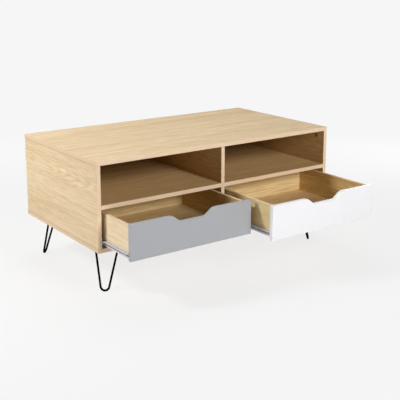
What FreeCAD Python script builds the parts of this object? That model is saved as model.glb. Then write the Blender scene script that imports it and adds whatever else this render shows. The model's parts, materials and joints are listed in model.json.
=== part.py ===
import FreeCAD, Part
import math
import os
import re
import Sketcher
from FreeCAD import Placement, Rotation, Vector

# Coffee table of laminated board on four hairpin legs, with two open niches over two drawers.
# Millimetres, X along the table, the drawers open towards -Y, Z up, the floor at Z = 0.
# The origin lies under the middle of the table as it stands with both drawers pulled out.

doc = FreeCAD.newDocument("coffee_table")
sheet = doc.addObject("Spreadsheet::Sheet", "Sizes")

SIZES = {
    # carcase
    "case_length": 1100,
    "case_depth": 600,
    "board": 16,
    "drawer_bay": 142,
    "niche": 143,
    "back_overhang": 5,
    "back_thick": 3,
    "back_margin": 8,
    "arris": 0.5,
    # carcase fittings
    "joint_inset": 44,
    "dowel_step": 32,
    "dowel_dia": 8,
    "dowel_in_face": 10,
    "dowel_in_edge": 20,
    "cam_dia": 15,
    "cam_depth": 12,
    "cam_setback": 24,
    "cap_dia": 18,
    "cap_thick": 1.2,
    "bolt_thread_dia": 6,
    "bolt_thread": 10.5,
    "bolt_shank_dia": 5,
    "nail_dia": 1.8,
    "nail_length": 16,
    "nail_head_dia": 4.5,
    "nail_head": 0.8,
    "fit_gap": 0.3,
    # hairpin legs
    "leg_height": 167,
    "rod_dia": 8,
    "bend_radius": 16.5,
    "leg_spread": 92,
    "lean": 42,
    "foot_inset": 46.5,
    "plate_length": 118,
    "plate_width": 52,
    "plate_thick": 2.5,
    "plate_corner": 8,
    "plate_hole_span": 44,
    "plate_hole_reach": 30,
    "leg_screw_dia": 4,
    "leg_screw": 14,
    "leg_screw_head_dia": 8,
    "leg_screw_head": 2.4,
    # drawers
    "left_open": 163.5,
    "right_open": 277,
    "front_thick": 15,
    "front_height": 131,
    "front_side_gap": 11,
    "front_split": 7,
    "front_lift": 1.5,
    "front_round": 1.2,
    "notch_depth": 25.5,
    "notch_floor": 92,
    "flank_radius": 25,
    "flank_angle": 36,
    "box_side": 12,
    "box_height": 118,
    "box_past_rail": 5,
    "box_back": 12,
    "box_lift": 9,
    "box_floor": 5,
    "floor_rise": 10,
    "groove": 6,
    "box_dowel_dia": 6,
    "box_dowel_in_front": 8,
    "box_dowel_in_side": 22,
    "box_dowel_low": 32,
    "box_dowel_high": 86,
    "box_screw_dia": 3.5,
    "box_screw": 34,
    "box_screw_head_dia": 7,
    "box_screw_head": 2,
    # roller runners
    "runner_gap": 12.5,
    "rail_thick": 1.2,
    "rail_length": 400,
    "rail_setback": 2,
    "rail_rise": 20,
    "rail_lip": 8.5,
    "rail_edge": 3.5,
    "rail_flange": 8.5,
    "rail_tab": 24,
    "tab_drop": 6,
    "roller_dia": 17,
    "roller_width": 5,
    "roller_edge": 0.8,
    "roller_inset": 12,
    "roller_room": 2,
    "roller_gap": 0.3,
    "roller_play": 0.05,
    "roller_side_gap": 0.4,
    "pin_dia": 5,
    "pin_head_dia": 8,
    "pin_head": 1,
    "rail_screw_dia": 3,
    "rail_screw": 8,
    "rail_screw_head_dia": 6,
    "rail_screw_head": 1,
    "rail_screw_first": 72,
    "rail_screw_step": 129,
}
for row, (name, number) in enumerate(SIZES.items(), start=1):
    sheet.set(f"A{row}", name)
    sheet.set(f"B{row}", str(number))
    sheet.setAlias(f"B{row}", name)
doc.recompute()


# Formulas are written with the names of the sizes and bound to the sheet's cells.

def cells(formula):
    """Spell a formula of size names as an expression on the sheet."""
    return re.sub(r"[a-z]\w*", lambda word: f"Sizes.{word[0]}" if word[0] in SIZES else word[0], formula)


def value(formula):
    """Work a formula out with the sheet's present numbers."""
    result = sheet.evalExpression(cells(formula))
    return float(getattr(result, "Value", result))


def bind(item, name, formula):
    """Tie one property to a formula."""
    item.setExpression(name, cells(formula))


def stand(item, corner, turn=Rotation()):
    """Put an object at three formulas, turned by a fixed rotation."""
    item.Placement = Placement(Vector(), turn)
    for axis, formula in zip("xyz", corner):
        bind(item, f"Placement.Base.{axis}", formula)


# Planes of the table, from the sizes. Front is the plane of the carcase's front edges.

HALF = "(case_length / 2)"
BACK = "((case_depth + right_open + front_thick) / 2)"
FRONT = f"({BACK} - case_depth)"
SIDE_DEPTH = "(case_depth - back_overhang)"
SIDE_BACK = f"({BACK} - back_overhang)"
FLOOR_Z = "(leg_height + board)"
SHELF_Z = f"({FLOOR_Z} + drawer_bay)"
NICHE_Z = f"({SHELF_Z} + board)"
TOP_Z = f"({NICHE_Z} + niche)"
INNER = f"({HALF} - board)"
FRONT_JOINT = f"({FRONT} + joint_inset)"
BACK_JOINT = f"({SIDE_BACK} - joint_inset)"

# Turns that carry the Z axis of a turned piece to another direction.

TO_RIGHT = Rotation(Vector(0, 1, 0), 90)
TO_LEFT = Rotation(Vector(0, 1, 0), -90)
TO_FRONT = Rotation(Vector(1, 0, 0), 90)
UPWARD = Rotation()
DOWNWARD = Rotation(Vector(1, 0, 0), 180)

nodes = {}


def keep(item, label):
    """Name an object as a finished sub-part."""
    item.Label = label
    nodes[label] = item
    return item


def sketch_on(body, role, name):
    """Start a sketch on one of the body's own origin planes."""
    sketch = body.newObject("Sketcher::SketchObject", name)
    plane = next(feature for feature in body.Origin.OriginFeatures if feature.Role == role)
    sketch.AttachmentSupport = [(plane, "")]
    sketch.MapMode = "FlatFace"
    return sketch


def hold(sketch, edge, end, across, along):
    """Hold one point of a sketch at two formulas from the sketch's origin."""
    for kind, axis, formula in (("DistanceX", -2, across), ("DistanceY", -1, along)):
        if formula == "0":
            sketch.addConstraint(Sketcher.Constraint("PointOnObject", edge, end, axis))
        else:
            index = sketch.addConstraint(Sketcher.Constraint(kind, edge, end, value(formula)))
            bind(sketch, f"Constraints[{index}]", formula)


def outline(sketch, corners):
    """Draw a closed outline through corners that are pairs of formulas."""
    points = [Vector(value(across), value(along), 0) for across, along in corners]
    first = sketch.GeometryCount
    count = len(points)
    for start, end in zip(points, points[1:] + points[:1]):
        sketch.addGeometry(Part.LineSegment(start, end))
    for step in range(count):
        follower = first + (step + 1) % count
        sketch.addConstraint(Sketcher.Constraint("Coincident", first + step, 2, follower, 1))
    for step, (across, along) in enumerate(corners):
        hold(sketch, first + step, 1, across, along)


def block(left, low, right, high):
    """Give the corners of an upright rectangle."""
    return [(left, low), (right, low), (right, high), (left, high)]


def pad(body, sketch, length, reverse=False):
    """Raise a sketch along its normal, or against it."""
    feature = body.newObject("PartDesign::Pad", f"{sketch.Name}_pad")
    feature.Profile = sketch
    bind(feature, "Length", length)
    feature.Reversed = reverse
    return feature


def pocket(body, sketch, depth, reverse=False):
    """Sink a sketch into the solid, and make sure that it cut something."""
    doc.recompute()
    before = body.Shape.Volume
    feature = body.newObject("PartDesign::Pocket", f"{sketch.Name}_pocket")
    feature.Profile = sketch
    bind(feature, "Length", depth)
    feature.Reversed = reverse
    doc.recompute()
    if body.Shape.Volume > before - 1:
        raise RuntimeError(f"{sketch.Name} cuts nothing")
    return feature


def panel(label, corner, width, depth, height):
    """Make a board from its left front lower corner, with its arrises taken off."""
    body = doc.addObject("PartDesign::Body", label)
    face = sketch_on(body, "XY_Plane", f"{label}_face")
    outline(face, block("0", "0", width, depth))
    slab = pad(body, face, height)
    doc.recompute()
    edges = body.newObject("PartDesign::Chamfer", f"{label}_arris")
    edges.Base = (slab, ["Face1"])
    edges.UseAllEdges = True
    bind(edges, "Size", "arris")
    stand(body, corner)
    return body


def turned(label, profile):
    """Turn a profile of radius and height about the Z axis."""
    body = doc.addObject("PartDesign::Body", label)
    half = sketch_on(body, "XZ_Plane", f"{label}_half")
    outline(half, profile)
    spin = body.newObject("PartDesign::Revolution", f"{label}_spin")
    spin.Profile = half
    spin.ReferenceAxis = (half, ["V_Axis"])
    spin.Angle = 360
    return body


def pin_profile(length, radius, head, head_radius):
    """Give the half section of a headed pin, the head below Z = 0 and the shank above it."""
    return [("0", f"-({head})"), (head_radius, f"-({head})"), (head_radius, "0"), (radius, "0"),
            (radius, length), ("0", length)]


def group(label, master, places):
    """Repeat a master piece at places that are three formulas and a turn."""
    copies = []
    for number, (corner, turn) in enumerate(places):
        copy = doc.addObject("App::Link", f"{label}_{number}")
        copy.LinkedObject = master
        stand(copy, corner, turn)
        copies.append(copy)
    compound = doc.addObject("Part::Compound", label)
    compound.Links = copies
    return compound


def drilled(label, blank, *drills):
    """Cut the holes of one or more drill groups into a blank and keep the result."""
    blank.Label = f"{label}_blank"
    piece = blank
    for number, drill in enumerate(drills):
        cut = doc.addObject("Part::Cut", f"{label}_cut_{number}")
        cut.Base = piece
        cut.Tool = drill
        piece = cut
    return keep(piece, label)


# Fittings. Each has a master piece, a drill that is wider by the fit gap, and its places.

def fitting(label, profile, hole, places):
    """Make a group of equal turned fittings and the matching group of drills."""
    keep(group(label, turned(f"{label}_master", profile), places), label)
    return group(f"{label}_drills", turned(f"{label}_drill", hole), places)


def both_ends(make):
    """List what a function gives for the left and the right end of the table."""
    return [place for sign, turn in ((-1, TO_LEFT), (1, TO_RIGHT)) for place in make(sign, turn)]


def cam_places(sign, turn):
    """Give the cams of one end: two under the top, two over the bottom, two under the shelf."""
    wall = f"{sign} * {INNER}"
    inboard = f"{sign} * ({INNER} - cam_setback)"
    places = []
    for depth in (FRONT_JOINT, BACK_JOINT):
        places.append(((wall, depth, f"{TOP_Z} - cam_setback"), turn))
        places.append(((wall, depth, f"{FLOOR_Z} + cam_setback"), turn))
        places.append(((inboard, depth, SHELF_Z), UPWARD))
    return places


def cap_places(sign, turn):
    """Give the caps over the two upper cams of one end."""
    return [((f"{sign} * ({INNER} - cap_thick)", depth, f"{TOP_Z} - cam_setback"), turn)
            for depth in (FRONT_JOINT, BACK_JOINT)]


def bolt_places(sign, turn):
    """Give the cam bolts of one end, each with its thread beyond the face it is screwed into."""
    middle = f"{sign} * ({HALF} - board / 2)"
    places = []
    for depth in (FRONT_JOINT, BACK_JOINT):
        places.append(((middle, depth, TOP_Z), UPWARD))
        places.append(((middle, depth, FLOOR_Z), DOWNWARD))
        places.append(((f"{sign} * {INNER}", depth, f"{SHELF_Z} + board / 2"), turn))
    return places


def dowel_places():
    """Give the dowels between the uprights and the level boards, clear of the bolts."""
    places = []
    for across, steps in ((f"-({HALF} - board / 2)", 2), (f"{HALF} - board / 2", 2), ("0", 0)):
        for depth, sign in ((FRONT_JOINT, "+"), (BACK_JOINT, "-")):
            along = f"{depth} {sign} {steps} * dowel_step"
            places.append(((across, along, TOP_Z), UPWARD))
            places.append(((across, along, FLOOR_Z), DOWNWARD))
    for depth, sign in ((FRONT_JOINT, "+"), (BACK_JOINT, "-")):
        places.append((("0", f"{depth} {sign} dowel_step", SHELF_Z), UPWARD))
        places.append((("0", f"{depth} {sign} 2 * dowel_step", NICHE_Z), DOWNWARD))
    return places


def nail_places():
    """Give the nails of the back sheet along both sides and the shelf."""
    behind = f"{SIDE_BACK} + back_thick"
    levels = (f"{FLOOR_Z} + joint_inset", f"{SHELF_Z} - joint_inset", f"{TOP_Z} - joint_inset")
    places = [((f"{sign} * ({HALF} - board / 2)", behind, level), TO_FRONT)
              for sign in (-1, 1) for level in levels]
    middle = f"{SHELF_Z} + board / 2"
    places += [((f"{share} * {INNER} / 3", behind, middle), TO_FRONT) for share in (-2, -1, 1, 2)]
    return places


def straight(radius, low, high):
    """Give the half section of a plain rod between two heights."""
    return block("0", low, radius, high)


cam_drills = fitting("cam_locks", straight("cam_dia / 2", "0", "cam_depth"),
                     straight("cam_dia / 2 + fit_gap", "0", "cam_depth"), both_ends(cam_places))

keep(group("cam_caps", turned("cam_cap", straight("cap_dia / 2", "0", "cap_thick")),
           both_ends(cap_places)), "cam_caps")

BOLT_REACH = "(cam_setback - cam_dia / 2 - fit_gap)"
bolt_drills = fitting(
    "cam_bolts",
    [("0", f"-{BOLT_REACH}"), ("bolt_shank_dia / 2", f"-{BOLT_REACH}"), ("bolt_shank_dia / 2", "0"),
     ("bolt_thread_dia / 2", "0"), ("bolt_thread_dia / 2", "bolt_thread"), ("0", "bolt_thread")],
    straight("bolt_thread_dia / 2 + fit_gap", "-cam_setback", "bolt_thread + fit_gap"),
    both_ends(bolt_places))

dowel_drills = fitting(
    "carcase_dowels", straight("dowel_dia / 2", "-dowel_in_edge", "dowel_in_face"),
    straight("dowel_dia / 2 + fit_gap", "-(dowel_in_edge + fit_gap)", "dowel_in_face + fit_gap"),
    dowel_places())

nail_drills = fitting(
    "back_nails", pin_profile("nail_length", "nail_dia / 2", "nail_head", "nail_head_dia / 2"),
    straight("nail_dia / 2 + fit_gap", "0", "nail_length + fit_gap"), nail_places())


# Legs. A corner has its side along X, the depth of its foot and the way inwards along Y.
# Each leg is built with its local Y axis pointing inwards along the corner's diagonal.

CORNERS = {
    "front_left": (-1, f"({FRONT} + foot_inset)", 1),
    "front_right": (1, f"({FRONT} + foot_inset)", 1),
    "back_left": (-1, f"({BACK} - foot_inset)", -1),
    "back_right": (1, f"({BACK} - foot_inset)", -1),
}
ROD_TOP = "(leg_height - plate_thick)"
ROD_RISE = f"({ROD_TOP} - rod_dia / 2)"
ROD_RUN = f"(sqrt(lean^2 + {ROD_RISE}^2) + rod_dia)"


def hairpin(label):
    """Bend a rod into a narrow U in a plane that leans inwards, cut level under its plate."""
    body = doc.addObject("PartDesign::Body", label)
    path = sketch_on(body, "XZ_Plane", f"{label}_path")
    path.AttachmentOffset = Placement(Vector(), Rotation(Vector(1, 0, 0), -10))
    bind(path, "AttachmentOffset.Base.y", "rod_dia / 2")
    bind(path, "AttachmentOffset.Rotation.Angle", f"-atan2(lean; {ROD_RISE})")
    radius = value("bend_radius")
    half_spread = value("leg_spread / 2")
    run = value(ROD_RUN)
    slant = math.hypot(half_spread, run - radius)
    turn = math.atan2(run - radius, half_spread) - math.acos(radius / slant)
    centre = Vector(0, radius, 0)
    touch = Vector(radius * math.cos(turn), radius + radius * math.sin(turn), 0)
    path.addGeometry(Part.LineSegment(Vector(-half_spread, run, 0), Vector(-touch.x, touch.y, 0)))
    path.addGeometry(Part.ArcOfCircle(Part.Circle(centre, Vector(0, 0, 1), radius),
                                      math.pi - turn, 2 * math.pi + turn))
    path.addGeometry(Part.LineSegment(touch, Vector(half_spread, run, 0)))
    path.addConstraint(Sketcher.Constraint("Tangent", 0, 2, 1, 1))
    path.addConstraint(Sketcher.Constraint("Tangent", 1, 2, 2, 1))
    hold(path, 1, 3, "0", "bend_radius")
    bend = path.addConstraint(Sketcher.Constraint("Radius", 1, radius))
    bind(path, f"Constraints[{bend}]", "bend_radius")
    hold(path, 0, 1, "-leg_spread / 2", ROD_RUN)
    hold(path, 2, 2, "leg_spread / 2", ROD_RUN)
    doc.recompute()
    section = body.newObject("Sketcher::SketchObject", f"{label}_section")
    section.AttachmentSupport = [(path, "Edge1")]
    section.MapMode = "NormalToEdge"
    section.addGeometry(Part.Circle(Vector(), Vector(0, 0, 1), value("rod_dia / 2")))
    section.addConstraint(Sketcher.Constraint("Coincident", 0, 3, -1, 1))
    gauge = section.addConstraint(Sketcher.Constraint("Diameter", 0, value("rod_dia")))
    bind(section, f"Constraints[{gauge}]", "rod_dia")
    doc.recompute()
    pipe = body.newObject("PartDesign::AdditivePipe", f"{label}_pipe")
    pipe.Profile = section
    pipe.Spine = (path, ["Edge1", "Edge2", "Edge3"])
    trim = sketch_on(body, "XY_Plane", f"{label}_trim")
    bind(trim, "AttachmentOffset.Base.z", ROD_TOP)
    outline(trim, block("-leg_spread", "-leg_spread", "leg_spread", "leg_spread"))
    pocket(body, trim, "leg_spread", reverse=True)
    return body


def leg_plate(label):
    """Make the flat plate on top of a hairpin, with round corners."""
    body = doc.addObject("PartDesign::Body", label)
    face = sketch_on(body, "XY_Plane", f"{label}_face")
    bind(face, "AttachmentOffset.Base.z", ROD_TOP)
    outline(face, block("-plate_length / 2", "lean - plate_width / 2",
                        "plate_length / 2", "lean + plate_width / 2"))
    plate = pad(body, face, "plate_thick")
    doc.recompute()
    uprights = [f"Edge{number}" for number, edge in enumerate(plate.Shape.Edges, start=1)
                if abs(edge.tangentAt(edge.FirstParameter).z) > 0.9]
    corners = body.newObject("PartDesign::Fillet", f"{label}_corners")
    corners.Base = (plate, uprights)
    bind(corners, "Radius", "plate_corner")
    return body


def leg_screw_places():
    """Give the four screws of each plate, on a rectangle that is turned with the leg."""
    places = []
    for side, foot, inwards in CORNERS.values():
        for along in (-1, 1):
            for reach in (-1, 1):
                spread = f"{along} * plate_hole_span / 2"
                middle = f"(lean + {reach} * plate_hole_reach / 2)"
                across = f"{side} * ({HALF} - foot_inset - ({middle} + {spread}) * sqrt(0.5))"
                depth = f"{foot} + {inwards} * ({middle} - {spread}) * sqrt(0.5)"
                places.append(((across, depth, ROD_TOP), UPWARD))
    return places


leg_drills = fitting(
    "leg_screws",
    pin_profile("leg_screw", "leg_screw_dia / 2", "leg_screw_head", "leg_screw_head_dia / 2"),
    straight("leg_screw_dia / 2 + fit_gap", "0", "leg_screw + fit_gap"), leg_screw_places())

for corner_name, (side, foot, inwards) in CORNERS.items():
    upright = Rotation(Vector(0, 1, 0), Vector(-side, inwards, 0))
    where = (f"{side} * ({HALF} - foot_inset)", foot, "0")
    rod = keep(hairpin(f"{corner_name}_leg"), f"{corner_name}_leg")
    stand(rod, where, upright)
    plate = leg_plate(f"{corner_name}_leg_plate_face")
    stand(plate, where, upright)
    drilled(f"{corner_name}_leg_plate", plate, leg_drills)


# Roller runners. Across is measured from the wall of the bay towards the drawer.

BAY_WIDTH = f"({INNER} - board / 2)"
BOX_Z = f"({FLOOR_Z} + box_lift)"
LIP_TOP = f"({BOX_Z} + rail_rise)"
LIP_LOW = f"({LIP_TOP} - rail_thick)"
LIP_MIDDLE = f"({LIP_TOP} - rail_thick / 2)"
CHANNEL = "(roller_dia / 2 + roller_gap)"
FRONT_AXLE_Z = f"({LIP_LOW} - roller_gap - roller_dia / 2)"
RAIL_Y = f"({FRONT} + rail_setback)"
LEG_FACE = "(runner_gap - rail_thick)"
LIP_OUT = f"({LEG_FACE} - rail_lip)"
FRONT_ROLLER = f"({LIP_OUT} + rail_thick + roller_side_gap)"
FRONT_SHANK = f"({FRONT_ROLLER} + roller_width + roller_side_gap)"
DRAWER_SHANK = "(rail_thick + roller_width + 2 * roller_side_gap)"
SCREWS_PER_RAIL = 3

# The four walls that carry a runner: bay name, wall name, X of the wall, direction to the drawer.

WALLS = {
    ("left", "left"): (f"(-{INNER})", 1),
    ("left", "right"): ("(-board / 2)", -1),
    ("right", "left"): ("(board / 2)", 1),
    ("right", "right"): (INNER, -1),
}
TO_DRAWER = {1: TO_RIGHT, -1: TO_LEFT}
TO_WALL = {1: TO_LEFT, -1: TO_RIGHT}
OPENING = {"left": "left_open", "right": "right_open"}


def rail_body(label, wall, start):
    """Start a runner whose profile is drawn across from the wall, up from the floor."""
    body = doc.addObject("PartDesign::Body", label)
    stand(body, (wall, start, "0"))
    return body


def run_profile(body, name, corners, way, length, start="0"):
    """Carry a flat profile backwards along the runner from a start to a length."""
    sketch = sketch_on(body, "XZ_Plane", name)
    bind(sketch, "AttachmentOffset.Base.z", f"-({start})")
    outline(sketch, [(f"{way} * ({across})" if across != "0" else "0", up) for across, up in corners])
    return pad(body, sketch, length, reverse=True)


def case_rail(label, wall, way):
    """Fold a channel that opens to the drawer, with a tab at its front for the roller's pin."""
    low = f"({LIP_MIDDLE} - {CHANNEL})"
    high = f"({LIP_MIDDLE} + {CHANNEL})"
    reach = "rail_thick + rail_flange"
    body = rail_body(label, wall, RAIL_Y)
    run_profile(body, f"{label}_web", [
        ("0", f"{low} - rail_thick"), ("rail_thick", f"{low} - rail_thick"), ("rail_thick", high),
        (reach, high), (reach, f"{high} + rail_thick"), ("0", f"{high} + rail_thick")],
        way, "rail_length")
    clear = "(roller_inset + roller_dia / 2 + roller_room)"
    run_profile(body, f"{label}_track", block("0", f"{low} - rail_thick", reach, low),
                way, f"rail_length - {clear}", clear)
    run_profile(body, f"{label}_tab",
                block("0", f"{FRONT_AXLE_Z} - tab_drop", "rail_thick", f"{low} + rail_thick"),
                way, "rail_tab")
    return body


def drawer_rail(label, wall, way, start):
    """Fold an angle under the drawer side, with a lip over the front roller and a tab at its back."""
    flange = "runner_gap + box_side"
    body = rail_body(label, wall, start)
    run_profile(body, f"{label}_angle", [
        (LEG_FACE, f"{BOX_Z} - rail_thick"), (flange, f"{BOX_Z} - rail_thick"), (flange, BOX_Z),
        ("runner_gap", BOX_Z), ("runner_gap", LIP_TOP), (LEG_FACE, LIP_TOP)], way, "rail_length")
    # the lip's outer edge is turned down beside the roller
    inside = f"{LIP_OUT} + rail_thick"
    run_profile(body, f"{label}_lip", [
        (LIP_OUT, f"{LIP_LOW} - rail_edge"), (inside, f"{LIP_LOW} - rail_edge"), (inside, LIP_LOW),
        ("runner_gap", LIP_LOW), ("runner_gap", LIP_TOP), (LIP_OUT, LIP_TOP)], way,
        "rail_length - roller_inset - roller_dia / 2 - roller_room")
    run_profile(body, f"{label}_tab", block(LEG_FACE, BOX_Z, "runner_gap", f"{LIP_MIDDLE} + tab_drop"),
                way, "rail_tab", "rail_length - rail_tab")
    return body


def roller(label, corner, turn):
    """Turn a roller with a bore that runs on its pin and slightly broken edges."""
    rim = "roller_dia / 2"
    bore = "pin_dia / 2 + roller_play"
    body = turned(label, [
        (bore, "0"), (f"{rim} - roller_edge", "0"), (rim, "roller_edge"),
        (rim, "roller_width - roller_edge"), (f"{rim} - roller_edge", "roller_width"),
        (bore, "roller_width")])
    stand(body, corner, turn)
    return keep(body, label)


def roller_pins(label, shank, places):
    """Set a pin with a flat head at each place, and give the drills for their holes."""
    pin = turned(f"{label}_pin", [
        ("0", "0"), ("pin_dia / 2", "0"), ("pin_dia / 2", shank), ("pin_head_dia / 2", shank),
        ("pin_head_dia / 2", f"{shank} + pin_head"), ("0", f"{shank} + pin_head")])
    keep(group(f"{label}_roller_pins", pin, places), f"{label}_roller_pins")
    drill = turned(f"{label}_pin_drill", straight("pin_dia / 2 + roller_play", "0", shank))
    return group(f"{label}_pin_drills", drill, places)


def rail_screw_places(way, wall):
    """Give the screws that hold one channel to its wall, their heads on the web."""
    turn = TO_WALL[way]
    return [((f"{wall} + {way} * rail_thick",
              f"{RAIL_Y} + rail_screw_first + {number} * rail_screw_step", LIP_MIDDLE), turn)
            for number in range(SCREWS_PER_RAIL)]


RAIL_SCREW = pin_profile("rail_screw", "rail_screw_dia / 2", "rail_screw_head",
                         "rail_screw_head_dia / 2")
RAIL_DRILL = straight("rail_screw_dia / 2 + fit_gap", "0", "rail_screw + fit_gap")
case_screw_drills = fitting(
    "case_rail_screws", RAIL_SCREW, RAIL_DRILL,
    [place for wall, way in WALLS.values() for place in rail_screw_places(way, wall)])

axle_places = [((wall, f"{RAIL_Y} + roller_inset", FRONT_AXLE_Z), TO_DRAWER[way])
               for wall, way in WALLS.values()]
axle_drills = roller_pins("front", FRONT_SHANK, axle_places)

for (bay, hand), (wall, way) in WALLS.items():
    drilled(f"{bay}_bay_{hand}_rail", case_rail(f"{bay}_bay_{hand}_rail_fold", wall, way),
            case_screw_drills, axle_drills)
    roller(f"{bay}_bay_{hand}_roller",
           (f"{wall} + {way} * {FRONT_ROLLER}", f"{RAIL_Y} + roller_inset", FRONT_AXLE_Z),
           TO_DRAWER[way])


# Carcase boards.

drilled("bottom_panel", panel("bottom_board", (f"-{HALF}", FRONT, "leg_height"),
                              "case_length", "case_depth", "board"),
        bolt_drills, dowel_drills, leg_drills)
drilled("top_panel", panel("top_board", (f"-{HALF}", FRONT, TOP_Z), "case_length", "case_depth", "board"),
        bolt_drills, dowel_drills)
drilled("middle_shelf", panel("shelf_board", (f"-{INNER}", FRONT, SHELF_Z),
                              f"2 * {INNER}", SIDE_DEPTH, "board"),
        cam_drills, bolt_drills, dowel_drills, nail_drills)
SIDE_HEIGHT = "(drawer_bay + board + niche)"
for hand, corner_x in (("left", f"-{HALF}"), ("right", INNER)):
    drilled(f"{hand}_side_panel", panel(f"{hand}_side_board", (corner_x, FRONT, FLOOR_Z),
                                        "board", SIDE_DEPTH, SIDE_HEIGHT),
            cam_drills, bolt_drills, dowel_drills, nail_drills, case_screw_drills)
drilled("upper_divider", panel("upper_divider_board", ("-board / 2", FRONT, NICHE_Z),
                               "board", SIDE_DEPTH, "niche"), dowel_drills)
drilled("lower_divider", panel("lower_divider_board", ("-board / 2", FRONT, FLOOR_Z),
                               "board", SIDE_DEPTH, "drawer_bay"), dowel_drills, case_screw_drills)
drilled("back_panel", panel("back_sheet", (f"-({HALF} - back_margin)", SIDE_BACK, f"{FLOOR_Z} + fit_gap"),
                            "case_length - 2 * back_margin", "back_thick",
                            f"{SIDE_HEIGHT} - 2 * fit_gap"), nail_drills)


# Drawers. Each is built behind the plane where its front meets the box.

FRONT_WIDTH = f"({INNER} - front_side_gap - front_split / 2)"
FRONT_Z = f"({FLOOR_Z} + front_lift)"
BOX_WIDTH = f"({BAY_WIDTH} - 2 * runner_gap)"
BOX_INNER = f"({BOX_WIDTH} - 2 * box_side)"
BOX_LENGTH = "(rail_length + box_past_rail)"
GROOVE_Z = f"({BOX_Z} + floor_rise)"
TONGUE = "(groove - fit_gap)"
FRONT_EDGES = {"left": f"(-({INNER} - front_side_gap))", "right": "(front_split / 2)"}


def front_outline(sketch):
    """Draw a front with a finger notch whose flanks are two equal arcs joined by a slope."""
    width = value(FRONT_WIDTH)
    height = value("front_height")
    radius = value("flank_radius")
    angle = math.radians(value("flank_angle"))
    sink = value("notch_depth")
    half_floor = value("notch_floor / 2")
    slope = (sink - 2 * radius * (1 - math.cos(angle))) / math.sin(angle)
    run = 2 * radius * math.sin(angle) + slope * math.cos(angle)
    middle = width / 2
    low = height - sink
    shoulder = half_floor + run
    swing = Vector(radius * math.sin(angle), radius * (1 - math.cos(angle)), 0)

    def arc(across, up, start, end):
        circle = Part.Circle(Vector(across, up, 0), Vector(0, 0, 1), radius)
        return Part.ArcOfCircle(circle, start, end)

    def line(*ends):
        return Part.LineSegment(*(Vector(across, up, 0) for across, up in ends))

    quarter = math.pi / 2
    sketch.addGeometry([
        line((0, 0), (width, 0)),
        line((width, 0), (width, height)),
        line((width, height), (middle + shoulder, height)),
        arc(middle + shoulder, height - radius, quarter, quarter + angle),
        line((middle + half_floor + swing.x, low + swing.y),
             (middle + shoulder - swing.x, height - swing.y)),
        arc(middle + half_floor, low + radius, 3 * quarter, 3 * quarter + angle),
        line((middle + half_floor, low), (middle - half_floor, low)),
        arc(middle - half_floor, low + radius, 3 * quarter - angle, 3 * quarter),
        line((middle - shoulder + swing.x, height - swing.y),
             (middle - half_floor - swing.x, low + swing.y)),
        arc(middle - shoulder, height - radius, quarter - angle, quarter),
        line((middle - shoulder, height), (0, height)),
        line((0, height), (0, 0)),
    ])
    for first, end, second, start in ((0, 2, 1, 1), (1, 2, 2, 1), (10, 2, 11, 1), (11, 2, 0, 1)):
        sketch.addConstraint(Sketcher.Constraint("Coincident", first, end, second, start))
    for first, end, second, start in ((2, 2, 3, 1), (3, 2, 4, 2), (4, 1, 5, 2), (5, 1, 6, 1),
                                      (6, 2, 7, 2), (7, 1, 8, 2), (8, 1, 9, 1), (9, 2, 10, 1)):
        sketch.addConstraint(Sketcher.Constraint("Tangent", first, end, second, start))
    for level in (2, 10):
        sketch.addConstraint(Sketcher.Constraint("Horizontal", level))
    for other in (5, 7, 9):
        sketch.addConstraint(Sketcher.Constraint("Equal", 3, other))
    bend = sketch.addConstraint(Sketcher.Constraint("Radius", 3, radius))
    bind(sketch, f"Constraints[{bend}]", "flank_radius")
    for flank, sign in ((4, 1), (8, -1)):
        tilt = sketch.addConstraint(Sketcher.Constraint("Angle", flank, sign * angle))
        bind(sketch, f"Constraints[{tilt}]", f"{sign} * flank_angle * 1 deg")
    sketch.addConstraint(Sketcher.Constraint("Coincident", 0, 1, -1, 1))
    hold(sketch, 1, 1, FRONT_WIDTH, "0")
    hold(sketch, 2, 1, FRONT_WIDTH, "front_height")
    hold(sketch, 11, 1, "0", "front_height")
    hold(sketch, 6, 1, f"{FRONT_WIDTH} / 2 + notch_floor / 2", "front_height - notch_depth")
    hold(sketch, 6, 2, f"{FRONT_WIDTH} / 2 - notch_floor / 2", "front_height - notch_depth")


def drawer_front(label, bay, plane):
    """Make a front with its finger notch, rounded face edges and the groove for the floor."""
    body = doc.addObject("PartDesign::Body", label)
    face = sketch_on(body, "XZ_Plane", f"{label}_outline")
    front_outline(face)
    slab = pad(body, face, "front_thick")
    doc.recompute()
    outer = -value("front_thick")
    rim = [f"Edge{number}" for number, edge in enumerate(slab.Shape.Edges, start=1)
           if all(abs(point.Y - outer) < 0.001 for point in edge.Vertexes)]
    edges = body.newObject("PartDesign::Fillet", f"{label}_round")
    edges.Base = (slab, rim)
    bind(edges, "Radius", "front_round")
    left_wall, _ = WALLS[bay, "left"]
    inner_left = f"({left_wall} + runner_gap + box_side - {FRONT_EDGES[bay]})"
    slot = sketch_on(body, "XZ_Plane", f"{label}_slot")
    up = f"({GROOVE_Z} - {FRONT_Z})"
    outline(slot, block(f"{inner_left} - groove", f"{up} - fit_gap",
                        f"{inner_left} + {BOX_INNER} + groove", f"{up} + box_floor + fit_gap"))
    pocket(body, slot, "groove", reverse=True)
    stand(body, (FRONT_EDGES[bay], plane, FRONT_Z))
    return body


def box_side_board(label, corner, way):
    """Make a drawer side, grooved on the face that looks into the drawer."""
    body = panel(label, corner, "box_side", BOX_LENGTH, "box_height")
    slot = sketch_on(body, "YZ_Plane", f"{label}_slot")
    bind(slot, "AttachmentOffset.Base.z", "box_side" if way > 0 else "0")
    outline(slot, block("0", "floor_rise - fit_gap", BOX_LENGTH, "floor_rise + box_floor + fit_gap"))
    pocket(body, slot, "groove", reverse=way < 0)
    return body


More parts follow.
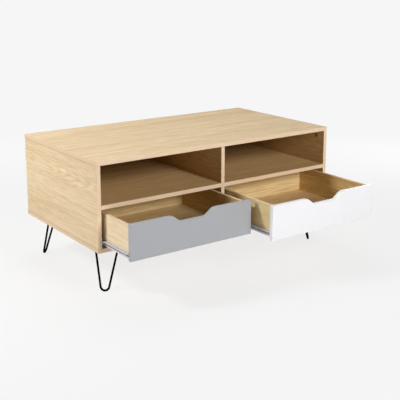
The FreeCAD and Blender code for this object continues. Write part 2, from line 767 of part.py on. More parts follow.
def drawer(bay):
    """Build one drawer: front, two sides, back, floor, runners, rollers and fasteners."""
    name = f"{bay}_drawer"
    plane = f"({FRONT} - {OPENING[bay]})"
    end = f"({plane} + {BOX_LENGTH})"
    walls = {hand: WALLS[bay, hand] for hand in ("left", "right")}
    inner_left = f"({walls['left'][0]} + runner_gap + box_side)"
    dowels = []
    back_screws = []
    rail_screws = []
    pins = []
    for wall, way in walls.values():
        middle = f"{wall} + {way} * (runner_gap + box_side / 2)"
        for level in ("box_dowel_low", "box_dowel_high"):
            dowels.append(((middle, plane, f"{BOX_Z} + {level}"), TO_FRONT))
            back_screws.append(((f"{wall} + {way} * (runner_gap + box_screw_head)",
                                 f"{end} - box_back / 2", f"{BOX_Z} + {level}"), TO_DRAWER[way]))
        beside_groove = f"{wall} + {way} * (runner_gap + (box_side - groove) / 2)"
        for number in range(SCREWS_PER_RAIL):
            rail_screws.append(((beside_groove, f"{plane} + rail_screw_first + {number} * rail_screw_step",
                                 f"{BOX_Z} - rail_thick"), UPWARD))
        pins.append(((f"{wall} + {way} * runner_gap", f"{plane} + rail_length - roller_inset",
                      LIP_MIDDLE), TO_WALL[way]))

    dowel_holes = fitting(
        f"{name}_dowels", straight("box_dowel_dia / 2", "-box_dowel_in_side", "box_dowel_in_front"),
        straight("box_dowel_dia / 2 + fit_gap", "-(box_dowel_in_side + fit_gap)",
                 "box_dowel_in_front + fit_gap"), dowels)
    sunk_head = pin_profile("box_screw + fit_gap", "box_screw_dia / 2 + fit_gap", "box_screw_head",
                            "box_screw_head_dia / 2 + fit_gap")
    screw_holes = fitting(
        f"{name}_back_screws",
        pin_profile("box_screw", "box_screw_dia / 2", "box_screw_head", "box_screw_head_dia / 2"),
        sunk_head, back_screws)
    rail_holes = fitting(f"{name}_rail_screws", RAIL_SCREW, RAIL_DRILL, rail_screws)
    pin_holes = roller_pins(name, DRAWER_SHANK, pins)

    drilled(f"{name}_front", drawer_front(f"{name}_front_board", bay, plane), dowel_holes)
    for hand, (wall, way) in walls.items():
        outer = f"{wall} + runner_gap" if way > 0 else f"{wall} - runner_gap - box_side"
        drilled(f"{name}_{hand}_side", box_side_board(f"{name}_{hand}_board", (outer, plane, BOX_Z), way),
                dowel_holes, screw_holes, rail_holes)
        drilled(f"{name}_{hand}_rail", drawer_rail(f"{name}_{hand}_rail_fold", wall, way, plane),
                rail_holes, pin_holes)
        roller(f"{name}_{hand}_roller",
               (f"{wall} + {way} * ({LEG_FACE} - roller_side_gap)",
                f"{plane} + rail_length - roller_inset", LIP_MIDDLE), TO_WALL[way])
    back = panel(f"{name}_back_board", (inner_left, f"{end} - box_back", BOX_Z),
                 BOX_INNER, "box_back", "box_height")
    slot = sketch_on(back, "XZ_Plane", f"{name}_back_slot")
    outline(slot, block("0", "floor_rise - fit_gap", BOX_INNER, "floor_rise + box_floor + fit_gap"))
    pocket(back, slot, "groove")
    drilled(f"{name}_back", back, screw_holes)
    floor = panel(f"{name}_floor", (f"{inner_left} - {TONGUE}", f"{plane} - {TONGUE}", GROOVE_Z),
                  f"{BOX_INNER} + 2 * {TONGUE}", f"{BOX_LENGTH} - box_back + 2 * {TONGUE}", "box_floor")
    keep(floor, f"{name}_floor")


for bay_name in OPENING:
    drawer(bay_name)


# Every object must be sound before a file is written.

doc.recompute()
failed = [item.Label for item in doc.Objects if {"Invalid", "Error"} & set(item.State)]
failed += [label for label, item in nodes.items() if item.Shape.isNull() or not item.Shape.isValid()]
if failed:
    raise RuntimeError(f"not sound: {failed}")

os.makedirs("parts", exist_ok=True)
for label, item in nodes.items():
    item.Shape.exportStep(f"parts/{label}.step")
    print(label, len(item.Shape.Solids), round(item.Shape.Volume))
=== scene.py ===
import json
import math

import bpy
from mathutils import Matrix, Vector


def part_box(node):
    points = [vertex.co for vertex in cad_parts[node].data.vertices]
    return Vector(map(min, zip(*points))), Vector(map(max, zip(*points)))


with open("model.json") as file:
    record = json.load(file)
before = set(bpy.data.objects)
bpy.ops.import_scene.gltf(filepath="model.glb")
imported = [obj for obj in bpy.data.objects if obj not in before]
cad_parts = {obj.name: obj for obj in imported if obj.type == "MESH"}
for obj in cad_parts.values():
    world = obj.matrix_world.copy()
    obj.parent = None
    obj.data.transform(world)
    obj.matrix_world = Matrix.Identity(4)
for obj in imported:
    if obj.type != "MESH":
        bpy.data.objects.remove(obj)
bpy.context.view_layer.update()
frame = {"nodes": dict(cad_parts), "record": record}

nodes = frame["nodes"]
MM = 0.001


# Shader tools

# A Mix node has sockets for each kind of data. These are its factor and the ones for colours.
FACTOR, COLOUR_A, COLOUR_B, COLOUR_OUT = 0, 6, 7, 2


def linear(code):
    """Turn an sRGB hex colour into the linear colour that a shader takes."""
    parts = [int(code[i:i + 2], 16) / 255 for i in (1, 3, 5)]
    return [c / 12.92 if c <= 0.04045 else ((c + 0.055) / 1.055) ** 2.4 for c in parts] + [1.0]


def add(tree, kind, inputs=None, out=0, **settings):
    """Add one shader node, set its properties and its inputs, numbers or sockets, and give one output."""
    made = tree.nodes.new("ShaderNode" + kind)
    for name, value in settings.items():
        setattr(made, name, value)
    for key, value in (inputs or {}).items():
        if isinstance(value, bpy.types.NodeSocket):
            tree.links.new(value, made.inputs[key])
        else:
            made.inputs[key].default_value = value
    return made.outputs[out] if made.outputs else made


def material(name):
    """Start a material with an empty node tree, and give it with its tree and its Object coordinates."""
    made = bpy.data.materials.new(name)
    made.use_nodes = True
    tree = made.node_tree
    tree.nodes.clear()
    return made, tree, add(tree, "TexCoord", out="Object")


def within(tree, place, room):
    """Give 1 where a place lies in a room, from its low to its high corner, and 0 elsewhere: on no axis is
    the place further from the room's middle than half the room's size."""
    low, high = room
    middle = [(a + b) / 2 for a, b in zip(low, high)]
    half = [(b - a) / 2 for a, b in zip(low, high)]
    away = add(tree, "VectorMath", {0: place, 1: middle}, operation="SUBTRACT")
    away = add(tree, "VectorMath", {0: away}, operation="ABSOLUTE")
    past = add(tree, "VectorMath", {0: away, 1: half}, operation="SUBTRACT")
    x, y, z = [add(tree, "SeparateXYZ", {0: past}, out=axis) for axis in "XYZ"]
    furthest = add(tree, "Math", {0: add(tree, "Math", {0: x, 1: y}, operation="MAXIMUM"), 1: z},
                   operation="MAXIMUM")
    return add(tree, "Math", {0: furthest, 1: 0.0}, operation="LESS_THAN")


# Oak print. Each pair of tones is the light and the dark colour of the grain.

CASE_TONES = ("#EFDCBA", "#C8A678")
# The niche, box-inner and back tones are deeper, warmer copies of the print for faces in shade: painted
# shade.
NICHE_SHADE_TONES = ("#E2C693", "#BD955D")
BOX_SIDE_TONES = ("#FBECCC", "#DABA8C")
BOX_INNER_SHADE_TONES = ("#E6CA8F", "#AE8449")
BACK_SHADE_TONES = ("#F0DCAC", "#CFAB6E")
BOX_FLOOR_TONES = ("#E6CE9E", "#CCA369")
END_BAND = linear("#E4CAAB")
# The band on faces that look forward is a lighter copy of the end band: painted light.
LIT_FRONT_BAND = linear("#FADFC0")
# A brown line painted where two boards meet at the joint heights, in place of the shadow line there: painted
# shade.
JOINT_SHADE = linear("#8F6C44")

# Each layer of grain has its length, width and depth in millimetres and its weight in the tone. The last
# layer stands for the pores. Real ones are about 0.3 mm wide, and are drawn at 3.5 mm so that they show.
GRAIN_LAYERS = (
    (1400, 75, 200, 0.65),
    (420, 20, 60, 0.45),
    (220, 9, 25, 0.55),
    (70, 3.5, 11, 1.2),
)
MEAN_TONE = 0.42
PORE_DEPTH = 0.3 * MM
PORE_ROUGHNESS = 0.1

# The arched rings near the pith: their spacing and weight in the tone, the half widths at which they are full
# and gone, how far they sway, and the length, width and depth of a sway in millimetres.
RING_SPACING = 7.5 * MM
RING_WEIGHT = 0.13
FIGURE_CORE = 20 * MM
FIGURE_WIDTH = 75 * MM
SWAY = 50 * MM
SWAY_SIZE = (140, 45, 250)

# The heart of the side panels: the height of its axis, how deep that lies at the origin, and the change in
# depth per metre towards the back.
SIDE_HEART = (0.41, 0.03, -0.10)

# A face is known by its normal's share along an axis: a front has more than SQUARE_ON forwards, a rim has
# less than RIM_FACING through the board, and an arris lies within ARRIS_SPREAD of ARRIS_FACING.
SQUARE_ON = 0.9
RIM_FACING = 0.2
ARRIS_FACING = 0.6
ARRIS_SPREAD = 0.36

# The edge band takes this share of the pores. Boards meet at the joint heights, in a line this far each way.
BAND_PORES = 0.3
JOINT_HEIGHTS = (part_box("top_panel")[0][2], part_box("bottom_panel")[1][2])
JOINT_LINE = 0.6 * MM

# Faces that look into the case, into a drawer or between the drawers lie in shade, and there take a deeper,
# warmer copy of the print: painted shade. They are found by rooms, which reach a little into the boards
# around them.
SKIN = 0.3 * MM


def room_between(left, right, front, back, below, above):
    """Give the corners of the room that six nodes enclose, grown by the skin."""
    low = (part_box(left)[1][0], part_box(front)[0][1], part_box(below)[1][2])
    high = (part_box(right)[0][0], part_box(back)[0][1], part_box(above)[0][2])
    return [value - SKIN for value in low], [value + SKIN for value in high]


CASE_SHADE_ROOM = room_between("left_side_panel", "right_side_panel", "left_side_panel", "back_panel",
                         "bottom_panel", "top_panel")
LEFT_BOX_SHADE_ROOM = room_between("left_drawer_left_side", "left_drawer_right_side", "left_drawer_front",
                             "left_drawer_back", "bottom_panel", "top_panel")
RIGHT_BOX_SHADE_ROOM = room_between("right_drawer_left_side", "right_drawer_right_side", "right_drawer_front",
                              "right_drawer_back", "bottom_panel", "top_panel")
MIDDLE_SHADE_ROOM = room_between("left_drawer_right_side", "right_drawer_left_side", "right_drawer_front",
                           "back_panel", "bottom_panel", "top_panel")


def grain_tone(tree, grain, figure):
    """Add up the layers of grain round the mean tone. Gives the tone and the last layer, the pores."""
    tone = MEAN_TONE
    for length, width, depth, weight in GRAIN_LAYERS:
        stretched = add(tree, "Mapping",
                        {"Vector": grain, "Scale": (1000 / length, 1000 / width, 1000 / depth)})
        layer = add(tree, "TexNoise", {"Vector": stretched, "Scale": 1.0, "Detail": 2.0, "Roughness": 0.55},
                    out="Fac")
        swing = add(tree, "Math", {0: layer, 1: 0.5}, operation="SUBTRACT")
        tone = add(tree, "Math", {0: swing, 1: weight * figure, 2: tone}, operation="MULTIPLY_ADD")
    return tone, layer


def with_rings(tree, grain, run, side, heart, tone):
    """Add the rings of a heart to a tone: a sine of the distance from an axis that sways across the board
    and slants through it along the grain, strong near the axis and gone at the figure's width."""
    middle, start, taper = heart
    stretched = add(tree, "Mapping", {"Vector": grain, "Scale": [1000 / size for size in SWAY_SIZE]})
    sway = add(tree, "TexNoise", {"Vector": stretched, "Scale": 1.0, "Detail": 3.0, "Roughness": 0.6},
               out="Fac")
    drift = add(tree, "Math", {0: sway, 1: SWAY, 2: -SWAY / 2 - middle}, operation="MULTIPLY_ADD")
    offset = add(tree, "Math", {0: side, 1: drift}, operation="ADD")
    rise = add(tree, "Math", {0: run, 1: taper, 2: start}, operation="MULTIPLY_ADD")
    radius = add(tree, "VectorMath", {0: add(tree, "CombineXYZ", {0: offset, 1: rise})},
                 out="Value", operation="LENGTH")
    turns = add(tree, "Math", {0: radius, 1: 2 * math.pi / RING_SPACING}, operation="MULTIPLY")
    rings = add(tree, "Math", {0: turns}, operation="SINE")
    far = add(tree, "Math", {0: offset}, operation="ABSOLUTE")
    near = add(tree, "MapRange", {"Value": far, "From Min": FIGURE_WIDTH, "From Max": FIGURE_CORE,
                                  "To Min": 0.0, "To Max": RING_WEIGHT}, interpolation_type="SMOOTHSTEP")
    return add(tree, "Math", {0: rings, 1: near, 2: tone}, operation="MULTIPLY_ADD")


def with_edges(tree, place, through, face, dark, pores):
    """Give a face's colour with the edge bands on the rim, lighter on forward faces as painted light, and a
    brown line of painted shade where two boards meet.
    """
    normal = add(tree, "NewGeometry", out="True Normal")
    # Rims that look forward take the lighter band: painted light.
    forward = add(tree, "Math", {0: add(tree, "SeparateXYZ", {0: normal}, out="Y"), 1: -SQUARE_ON},
                  operation="LESS_THAN")
    band = add(tree, "Mix", {FACTOR: forward, COLOUR_A: END_BAND, COLOUR_B: LIT_FRONT_BAND}, COLOUR_OUT,
               data_type="RGBA")
    streak = add(tree, "Math", {0: pores, 1: BAND_PORES}, operation="MULTIPLY")
    edge = add(tree, "Mix", {FACTOR: streak, COLOUR_A: band, COLOUR_B: dark}, COLOUR_OUT, data_type="RGBA")
    facing = add(tree, "Math", {0: add(tree, "SeparateXYZ", {0: normal}, out=through)}, operation="ABSOLUTE")
    rim = add(tree, "Math", {0: facing, 1: RIM_FACING}, operation="LESS_THAN")
    colour = add(tree, "Mix", {FACTOR: rim, COLOUR_A: face, COLOUR_B: edge}, COLOUR_OUT, data_type="RGBA")

    # The arrises at the joint heights take the brown line: painted shade.
    arris = add(tree, "Math", {0: facing, 1: ARRIS_FACING, 2: ARRIS_SPREAD}, operation="COMPARE")
    height = add(tree, "SeparateXYZ", {0: place}, out="Z")
    upper, lower = [add(tree, "Math", {0: height, 1: joint, 2: JOINT_LINE}, operation="COMPARE")
                    for joint in JOINT_HEIGHTS]
    at_joint = add(tree, "Math", {0: upper, 1: lower}, operation="MAXIMUM")
    seam = add(tree, "Math", {0: arris, 1: at_joint}, operation="MULTIPLY")
    return add(tree, "Mix", {FACTOR: seam, COLOUR_A: colour, COLOUR_B: JOINT_SHADE}, COLOUR_OUT,
               data_type="RGBA")


def oak_print(name, along, across, through, tones, shade_rooms=(), heart=None, figure=1.0, shine=0.05, rough=0.7):
    """Oak-print melamine on board. It gives the eye straight streaks along one axis over slow bands of
    tone, pores that are a little rougher, a plain, slightly pink edge band round the rim, painted lighter on
    the faces that look forward as painted light, and a thin brown line of painted shade where two boards
    meet at an arris. Along, across and through name the axes of the grain, of the board's width and of its
    thickness. Faces in a room of shade take that room's deeper tones, painted shade. A heart adds the arched
    rings of a board cut near the pith. Figure scales the grain's contrast."""
    made, tree, place = material(name)
    run, side, deep = [add(tree, "SeparateXYZ", {0: place}, out=axis) for axis in (along, across, through)]
    grain = add(tree, "CombineXYZ", {0: run, 1: side, 2: deep})
    tone, pores = grain_tone(tree, grain, figure)
    if heart:
        tone = with_rings(tree, grain, run, side, heart, tone)

    light, dark = [linear(code) for code in tones]
    face = add(tree, "Mix", {FACTOR: tone, COLOUR_A: light, COLOUR_B: dark}, COLOUR_OUT, data_type="RGBA")
    # Faces in each room of shade take the deeper copy of the print: painted shade.
    for room, shade_tones in shade_rooms:
        shade_light_grain, shade_dark_grain = [linear(code) for code in shade_tones]
        shaded_face = add(tree, "Mix", {FACTOR: tone, COLOUR_A: shade_light_grain, COLOUR_B: shade_dark_grain}, COLOUR_OUT,
                    data_type="RGBA")
        face = add(tree, "Mix", {FACTOR: within(tree, place, room), COLOUR_A: face, COLOUR_B: shaded_face},
                   COLOUR_OUT, data_type="RGBA")
    colour = with_edges(tree, place, through, face, dark, pores)

    satin = add(tree, "MapRange", {"Value": pores, "To Min": rough - PORE_ROUGHNESS,
                                   "To Max": rough + PORE_ROUGHNESS})
    bump = add(tree, "Bump", {"Strength": 0.1, "Distance": PORE_DEPTH, "Height": pores})
    surface = add(tree, "BsdfPrincipled", {"Base Color": colour, "Roughness": satin,
                                           "Specular IOR Level": shine, "Normal": bump})
    add(tree, "OutputMaterial", {"Surface": surface})
    return made


# Lacquer, paint and coatings

LACQUER_PEEL = 2.2 * MM
LACQUER_CLOUD = 90 * MM
LACQUER_ROUGHNESS = 0.05

# The grain of a real powder or epoxy coat is about 0.2 mm, and is drawn at 0.6 mm so that it shows.
COAT_GRAIN = 0.6 * MM
COAT_DEPTH = 0.2 * MM
COAT_ROUGHNESS = 0.1

# The line of painted shade on a runner's wall under the lip: its height over the drawer rail's foot, its
# width and its soft edge.
SHADE_LINE_HEIGHT = 9.4 * MM
SHADE_LINE_WIDTH = 5.5 * MM
SHADE_LINE_FADE = 0.55 * MM


def lacquer(name, colour, thin, rough):
    """Sprayed lacquer on board. It gives the eye an even, satin face with a faint orange peel of about
    2 mm, and hardly seen clouds a hand wide where the spray lies thinner."""
    made, tree, place = material(name)
    peel = add(tree, "TexNoise", {"Vector": place, "Scale": 1 / LACQUER_PEEL, "Detail": 1.0}, out="Fac")
    clouds = add(tree, "TexNoise", {"Vector": place, "Scale": 1 / LACQUER_CLOUD, "Detail": 2.0}, out="Fac")
    coat = add(tree, "Mix", {FACTOR: clouds, COLOUR_A: linear(colour), COLOUR_B: linear(thin)}, COLOUR_OUT,
               data_type="RGBA")
    satin = add(tree, "MapRange", {"Value": clouds, "To Min": rough - LACQUER_ROUGHNESS,
                                   "To Max": rough + LACQUER_ROUGHNESS})
    bump = add(tree, "Bump", {"Strength": 0.05, "Distance": COAT_DEPTH, "Height": peel})
    surface = add(tree, "BsdfPrincipled", {"Base Color": coat, "Roughness": satin,
                                           "Specular IOR Level": 0.35, "Normal": bump})
    add(tree, "OutputMaterial", {"Surface": surface})
    return made


def powder_coat(name, colour, fleck, rough, shine):
    """Powder coat on steel. It gives the eye a deep satin black with a fine grain in colour and shine."""
    made, tree, place = material(name)
    speck = add(tree, "TexNoise", {"Vector": place, "Scale": 1 / COAT_GRAIN, "Detail": 2.0}, out="Fac")
    coat = add(tree, "Mix", {FACTOR: speck, COLOUR_A: linear(colour), COLOUR_B: linear(fleck)}, COLOUR_OUT,
               data_type="RGBA")
    satin = add(tree, "MapRange", {"Value": speck, "To Min": rough - COAT_ROUGHNESS,
                                   "To Max": rough + COAT_ROUGHNESS})
    bump = add(tree, "Bump", {"Strength": 0.15, "Distance": COAT_DEPTH, "Height": speck})
    surface = add(tree, "BsdfPrincipled", {"Base Color": coat, "Roughness": satin,
                                           "Specular IOR Level": shine, "Normal": bump})
    add(tree, "OutputMaterial", {"Surface": surface})
    return made


def runner_coat(name, colour, lip_shade):
    """Pale epoxy on folded steel. It gives the eye a cool satin strip with a fine grain, and a darker,
    shinier line of painted shade along the channel under the lip, at one height over the whole runner."""
    made, tree, place = material(name)
    height = add(tree, "SeparateXYZ", {0: place}, out="Z")
    normal = add(tree, "NewGeometry", out="True Normal")
    sideways = add(tree, "Math", {0: add(tree, "SeparateXYZ", {0: normal}, out="X")}, operation="ABSOLUTE")
    on_wall = add(tree, "Math", {0: sideways, 1: SQUARE_ON}, operation="GREATER_THAN")
    line_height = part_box("left_drawer_left_rail")[0][2] + SHADE_LINE_HEIGHT
    above = add(tree, "Math", {0: height, 1: line_height}, operation="SUBTRACT")
    far = add(tree, "Math", {0: above}, operation="ABSOLUTE")
    near = add(tree, "MapRange", {"Value": far, "From Min": SHADE_LINE_WIDTH / 2 + SHADE_LINE_FADE,
                                  "From Max": SHADE_LINE_WIDTH / 2 - SHADE_LINE_FADE, "To Min": 0.0, "To Max": 1.0})
    painted_shade_line = add(tree, "Math", {0: near, 1: on_wall}, operation="MULTIPLY")
    # The band of the wall under the lip takes the dark colour: painted shade.
    shade = add(tree, "Mix", {FACTOR: painted_shade_line, COLOUR_A: linear(colour), COLOUR_B: linear(lip_shade)}, COLOUR_OUT,
                data_type="RGBA")
    satin = add(tree, "MapRange", {"Value": painted_shade_line, "To Min": 0.38, "To Max": 0.25})
    speck = add(tree, "TexNoise", {"Vector": place, "Scale": 1 / COAT_GRAIN, "Detail": 2.0}, out="Fac")
    bump = add(tree, "Bump", {"Strength": 0.15, "Distance": COAT_DEPTH, "Height": speck})
    surface = add(tree, "BsdfPrincipled", {"Base Color": shade, "Roughness": satin, "Normal": bump})
    add(tree, "OutputMaterial", {"Surface": surface})
    return made


# Small fittings. Streaks and flecks have a width, a length and a depth.

RUBBED_SPOT = 1.2 * MM
ZINC_CLOUD = 3 * MM
NYLON_FLOW = 4 * MM
CAP_STREAK = (0.9 * MM, 7 * MM, 0.9 * MM)
BEECH_FLECK = (0.5 * MM, 3 * MM, 0.5 * MM)
FITTING_DEPTH = 0.1 * MM


def black_zinc():
    """Black zinc on steel screws. It gives the eye a near-black metal, rubbed brighter in spots of about
    a millimetre where the driver and the barrel wore it."""
    made, tree, place = material("black_zinc")
    rubbed = add(tree, "TexNoise", {"Vector": place, "Scale": 1 / RUBBED_SPOT, "Detail": 3.0}, out="Fac")
    metal = add(tree, "Mix", {FACTOR: rubbed, COLOUR_A: linear("#0C0C0F"), COLOUR_B: linear("#2B2B31")},
                COLOUR_OUT, data_type="RGBA")
    rough = add(tree, "MapRange", {"Value": rubbed, "To Min": 0.52, "To Max": 0.34})
    surface = add(tree, "BsdfPrincipled", {"Base Color": metal, "Metallic": 0.7, "Roughness": rough})
    add(tree, "OutputMaterial", {"Surface": surface})
    return made


def zinc_plate():
    """Bright zinc on steel fittings. It gives the eye a pale grey metal clouded in patches of about 3 mm,
    bluish where the plating is bright and yellowish where it is dull."""
    made, tree, place = material("zinc_plate")
    clouds = add(tree, "TexNoise", {"Vector": place, "Scale": 1 / ZINC_CLOUD, "Detail": 2.0}, out="Fac")
    metal = add(tree, "Mix", {FACTOR: clouds, COLOUR_A: linear("#BFC2C8"), COLOUR_B: linear("#B1AEA2")},
                COLOUR_OUT, data_type="RGBA")
    rough = add(tree, "MapRange", {"Value": clouds, "To Min": 0.26, "To Max": 0.44})
    surface = add(tree, "BsdfPrincipled", {"Base Color": metal, "Metallic": 1.0, "Roughness": rough})
    add(tree, "OutputMaterial", {"Surface": surface})
    return made


def roller_nylon():
    """Moulded nylon. It gives the eye a milky white with flow clouds of about 4 mm and a soft shine."""
    made, tree, place = material("roller_nylon")
    flow = add(tree, "TexNoise", {"Vector": place, "Scale": 1 / NYLON_FLOW, "Detail": 2.0}, out="Fac")
    milk = add(tree, "Mix", {FACTOR: flow, COLOUR_A: linear("#E2E2DE"), COLOUR_B: linear("#D0D0C9")},
               COLOUR_OUT, data_type="RGBA")
    rough = add(tree, "MapRange", {"Value": flow, "To Min": 0.4, "To Max": 0.55})
    surface = add(tree, "BsdfPrincipled", {"Base Color": milk, "Roughness": rough})
    add(tree, "OutputMaterial", {"Surface": surface})
    return made


def cap_plastic():
    """Moulded brown cap. It gives the eye a darker dot with short streaks along the board's grain, 7 mm
    long and 0.9 mm wide, which make it sit in the oak print."""
    made, tree, place = material("cap_plastic")
    stretched = add(tree, "Mapping", {"Vector": place, "Scale": [1 / size for size in CAP_STREAK]})
    streaks = add(tree, "TexNoise", {"Vector": stretched, "Scale": 1.0, "Detail": 2.0}, out="Fac")
    brown = add(tree, "Mix", {FACTOR: streaks, COLOUR_A: linear("#A48A60"), COLOUR_B: linear("#7A623F")},
                COLOUR_OUT, data_type="RGBA")
    satin = add(tree, "MapRange", {"Value": streaks, "To Min": 0.42, "To Max": 0.58})
    bump = add(tree, "Bump", {"Strength": 0.1, "Distance": FITTING_DEPTH, "Height": streaks})
    surface = add(tree, "BsdfPrincipled", {"Base Color": brown, "Roughness": satin, "Normal": bump})
    add(tree, "OutputMaterial", {"Surface": surface})
    return made


def raw_beech():
    """Raw turned beech. It gives the eye a pale, slightly pink wood with dark flecks 3 mm long and 0.5 mm
    wide."""
    made, tree, place = material("raw_beech")
    stretched = add(tree, "Mapping", {"Vector": place, "Scale": [1 / size for size in BEECH_FLECK]})
    flecks = add(tree, "TexNoise", {"Vector": stretched, "Scale": 1.0, "Detail": 2.0}, out="Fac")
    wood = add(tree, "Mix", {FACTOR: flecks, COLOUR_A: linear("#DDBC93"), COLOUR_B: linear("#C39C6F")},
               COLOUR_OUT, data_type="RGBA")
    matt = add(tree, "MapRange", {"Value": flecks, "To Min": 0.68, "To Max": 0.82})
    bump = add(tree, "Bump", {"Strength": 0.2, "Distance": FITTING_DEPTH, "Height": flecks})
    surface = add(tree, "BsdfPrincipled", {"Base Color": wood, "Roughness": matt, "Normal": bump})
    add(tree, "OutputMaterial", {"Surface": surface})
    return made


# The finish of each material slot

FINISHES = {
    "oak_long_board": oak_print("oak_print_long", "X", "Y", "Z", CASE_TONES, [(CASE_SHADE_ROOM, NICHE_SHADE_TONES)],
                                figure=1.1),
    "oak_upright_board": oak_print("oak_print_upright", "Y", "Z", "X", CASE_TONES,
                                   [(CASE_SHADE_ROOM, NICHE_SHADE_TONES)], heart=SIDE_HEART, figure=0.9),
    "oak_back_sheet": oak_print("oak_print_back", "X", "Z", "Y", CASE_TONES, [(CASE_SHADE_ROOM, BACK_SHADE_TONES)]),
    "oak_box_side": oak_print("oak_print_box_side", "Y", "Z", "X", BOX_SIDE_TONES,
                              [(LEFT_BOX_SHADE_ROOM, BOX_INNER_SHADE_TONES), (RIGHT_BOX_SHADE_ROOM, BOX_INNER_SHADE_TONES),
                               (MIDDLE_SHADE_ROOM, BACK_SHADE_TONES)], figure=1.1),
    "oak_box_back": oak_print("oak_print_box_back", "X", "Z", "Y", BACK_SHADE_TONES, figure=1.5),
    "oak_box_floor": oak_print("oak_print_box_floor", "X", "Y", "Z", BOX_FLOOR_TONES, figure=1.5, shine=0.35,
                               rough=0.4),
    "grey_front": lacquer("grey_lacquer", "#AAACB0", "#ACAEB2", rough=0.45),
    "white_front": lacquer("white_lacquer", "#F3F3F5", "#F1F1F3", rough=0.42),
    "black_rod": powder_coat("black_powder_coat", "#020203", "#050506", rough=0.75, shine=0.02),
    "black_plate": powder_coat("black_plate_coat", "#040405", "#070708", rough=0.7, shine=0.06),
    "black_screws": black_zinc(),
    # The runner's second colour is the painted shade under the lip.
    "coated_runner": runner_coat("pale_epoxy_coat", "#CDCCD2", "#7C7677"),
    "roller_nylon": roller_nylon(),
    "cap_plastic": cap_plastic(),
    "zinc_fittings": zinc_plate(),
    "beech_dowels": raw_beech(),
}
for entry in frame["record"]["subparts"]:
    piece = nodes[entry["node"]]
    piece.data.materials.clear()
    piece.data.materials.append(FINISHES[entry["material_slot"]])


# Stage: a wide pale floor, and a room around it that is pale to the eye and lights the object faintly. Near
# the object the floor shows lit ground in part, so that its shadow stays, and further out the backdrop alone.

BACKDROP = linear("#F6F6F6")
FLOOR_PAINT = linear("#F4F4F4")
FLOOR_REACH = 60.0
GLOW_SHARE = 0.82
SHADOW_REACH = 1.0
EVEN_REACH = 3.0
AMBIENT = 0.03


def seen_by_eye(tree):
    """Give 1 for what the camera sees directly, mirrored or through glass, and 0 for scattered light."""
    eye, gloss, clear = [add(tree, "LightPath", out=ray)
                         for ray in ("Is Camera Ray", "Is Glossy Ray", "Is Transmission Ray")]
    mirrored = add(tree, "Math", {0: gloss, 1: clear}, operation="MAXIMUM")
    return add(tree, "Math", {0: eye, 1: mirrored}, operation="MAXIMUM")


def floor_material():
    """Pale studio floor. It gives the eye a flat light ground that keeps a soft shadow near the object and
    is even further out."""
    made, tree, place = material("studio_floor")
    lit = add(tree, "BsdfDiffuse", {"Color": FLOOR_PAINT})
    glow = add(tree, "Emission", {"Color": BACKDROP, "Strength": 1.0})
    away = add(tree, "VectorMath", {0: place}, out="Value", operation="LENGTH")
    evenness = add(tree, "MapRange", {"Value": away, "From Min": SHADOW_REACH, "From Max": EVEN_REACH,
                                      "To Min": GLOW_SHARE, "To Max": 1.0}, interpolation_type="SMOOTHSTEP")
    share = add(tree, "Math", {0: seen_by_eye(tree), 1: evenness}, operation="MULTIPLY")
    add(tree, "OutputMaterial", {"Surface": add(tree, "MixShader", {0: share, 1: lit, 2: glow})})
    return made


ground = bpy.data.meshes.new("studio_floor")
ground.from_pydata([(-FLOOR_REACH, -FLOOR_REACH, 0), (FLOOR_REACH, -FLOOR_REACH, 0),
                    (FLOOR_REACH, FLOOR_REACH, 0), (-FLOOR_REACH, FLOOR_REACH, 0)], [], [(0, 1, 2, 3)])
ground.materials.append(floor_material())
floor = bpy.data.objects.new("studio_floor", ground)
bpy.context.scene.collection.objects.link(floor)

world = bpy.data.worlds.new("studio")
world.use_nodes = True
walls = world.node_tree
walls.nodes.clear()
strength = add(walls, "MapRange", {"Value": seen_by_eye(walls), "To Min": AMBIENT, "To Max": 1.0})
add(walls, "OutputWorld", {"Surface": add(walls, "Background", {"Color": BACKDROP, "Strength": strength})})
bpy.context.scene.world = world


# Lights: panels that stand at a centre and turn to an aim.

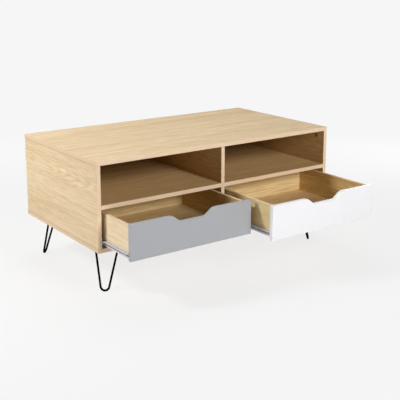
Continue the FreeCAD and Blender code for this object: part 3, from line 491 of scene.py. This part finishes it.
LIGHT_PANELS = {
    "front_light": dict(centre=(0.14, -3.49, 1.81), aim=(0.0, -0.2, 0.35), width=0.8, height=1.0, level=0.66),
    "left_light": dict(centre=(-2.1, 0.45, 1.8), aim=(-0.55, 0.1, 0.33), width=0.4, height=0.4, level=0.82),
    "top_light": dict(centre=(0.3, 0.9, 2.6), aim=(0.15, 0.27, 0.5), width=1.5, height=1.5, level=0.45),
    "right_light": dict(centre=(2.6, 0.9, 0.6), aim=(0.55, 0.15, 0.33), width=1.2, height=0.8, level=0.5),
    "back_light": dict(centre=(-0.2, 3.2, 0.6), aim=(0.0, 0.45, 0.33), width=1.6, height=0.8, level=0.5),
}


def light_panel(name, centre, aim, width, height, level):
    """A soft panel of light. Level is what it adds, as a share of white, to a white face at the aim that is
    turned to it."""
    lamp = bpy.data.lights.new(name, "AREA")
    lamp.shape = "RECTANGLE"
    lamp.size = width
    lamp.size_y = height
    throw = Vector(centre) - Vector(aim)
    lamp.energy = level * math.pi ** 2 * throw.length_squared
    panel = bpy.data.objects.new(name, lamp)
    panel.matrix_world = Matrix.Translation(centre) @ throw.to_track_quat("Z", "Y").to_matrix().to_4x4()
    bpy.context.scene.collection.objects.link(panel)


for panel_name, setting in LIGHT_PANELS.items():
    light_panel(panel_name, **setting)


# Camera, solved from the photograph's edges with the table's real sizes.

FRAME_PIXELS = 400
FOCAL_PIXELS = 808.0
SENSOR_WIDTH = 36.0
VERTICAL_SHIFT = -0.15
VIEW_REACH = 200.0
CAMERA_PLACE = (-1.838, -2.559, 1.147)
YAW = math.radians(35.71)
PITCH = math.radians(11.88)

lens = bpy.data.cameras.new("camera")
lens.sensor_width = SENSOR_WIDTH
lens.lens = FOCAL_PIXELS / FRAME_PIXELS * SENSOR_WIDTH
lens.shift_y = VERTICAL_SHIFT
lens.clip_end = VIEW_REACH
look = Vector((math.sin(YAW) * math.cos(PITCH), math.cos(YAW) * math.cos(PITCH), -math.sin(PITCH)))
turn = look.to_track_quat("-Z", "Y").to_matrix().to_4x4()
camera = bpy.data.objects.new("camera", lens)
camera.matrix_world = Matrix.Translation(CAMERA_PLACE) @ turn
bpy.context.scene.collection.objects.link(camera)
bpy.context.scene.camera = camera

bpy.context.scene.view_settings.view_transform = "Standard"
